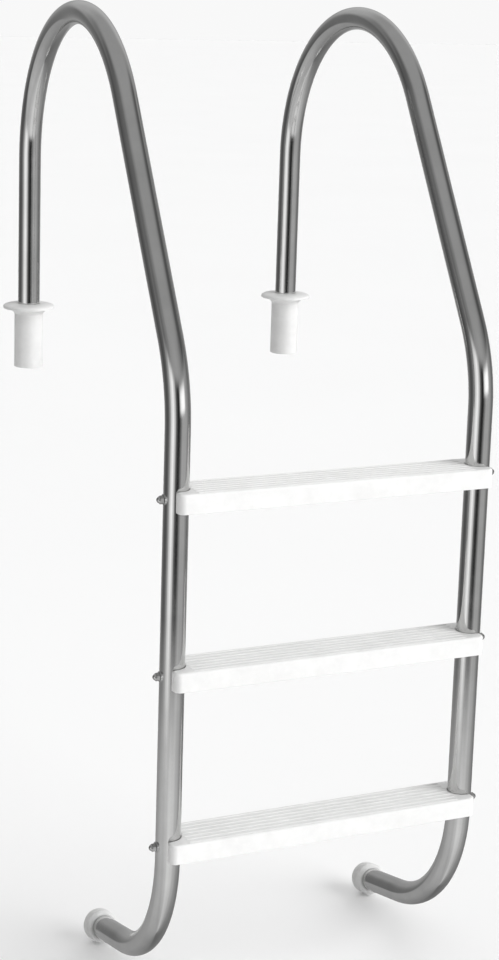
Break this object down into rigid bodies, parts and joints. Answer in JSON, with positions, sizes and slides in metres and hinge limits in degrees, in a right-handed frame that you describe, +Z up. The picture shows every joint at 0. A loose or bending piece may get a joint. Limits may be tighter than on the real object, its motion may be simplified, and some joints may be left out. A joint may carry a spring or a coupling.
{
  "type": "pool ladder",
  "caption": "In-ground pool ladder: bent steel tube handrails joined by white moulded treads, with wall bumpers at the feet and sockets set in the deck.",
  "frame": {"origin": "midway between the axes of the two deck sockets, level with the deck surface", "axes": "+X across the ladder towards the right rail as seen from the pool, +Y from the pool towards the deck, +Z up"},
  "size_m": [0.67, 0.9059, 1.7471],
  "materials": {
    "rail_steel": "polished stainless steel tube",
    "fastener_steel": "polished stainless steel",
    "tread_plastic": "white moulded plastic with a fine grip texture on top",
    "socket_plastic": "white moulded plastic, satin",
    "bumper_rubber": "white moulded rubber"
  },
  "bodies": {
    "anchors": {"left_deck_socket": "socket_plastic", "right_deck_socket": "socket_plastic"},
    "ladder": {"left_rail": "rail_steel", "right_rail": "rail_steel", "top_tread": "tread_plastic", "middle_tread": "tread_plastic", "bottom_tread": "tread_plastic", "top_left_bolt": "fastener_steel", "top_left_washer": "fastener_steel", "top_left_cap_nut": "fastener_steel", "top_right_bolt": "fastener_steel", "top_right_washer": "fastener_steel", "top_right_cap_nut": "fastener_steel", "middle_left_bolt": "fastener_steel", "middle_left_washer": "fastener_steel", "middle_left_cap_nut": "fastener_steel", "middle_right_bolt": "fastener_steel", "middle_right_washer": "fastener_steel", "middle_right_cap_nut": "fastener_steel", "bottom_left_bolt": "fastener_steel", "bottom_left_washer": "fastener_steel", "bottom_left_cap_nut": "fastener_steel", "bottom_right_bolt": "fastener_steel", "bottom_right_washer": "fastener_steel", "bottom_right_cap_nut": "fastener_steel", "left_bumper": "bumper_rubber", "right_bumper": "bumper_rubber"},
    "left_cover": {"left_escutcheon": "socket_plastic"},
    "right_cover": {"right_escutcheon": "socket_plastic"}
  },
  "joints": [
    {"name": "lift_out", "type": "slide", "parent": "anchors", "child": "ladder", "axis": [0, 0, 1], "range_m": [0, 0.11]},
    {"name": "left_cover_slide", "type": "slide", "parent": "ladder", "child": "left_cover", "axis": [0, 0, 1], "range_m": [0, 0.2]},
    {"name": "right_cover_slide", "type": "slide", "parent": "ladder", "child": "right_cover", "axis": [0, 0, 1], "range_m": [0, 0.2]}
  ]
}
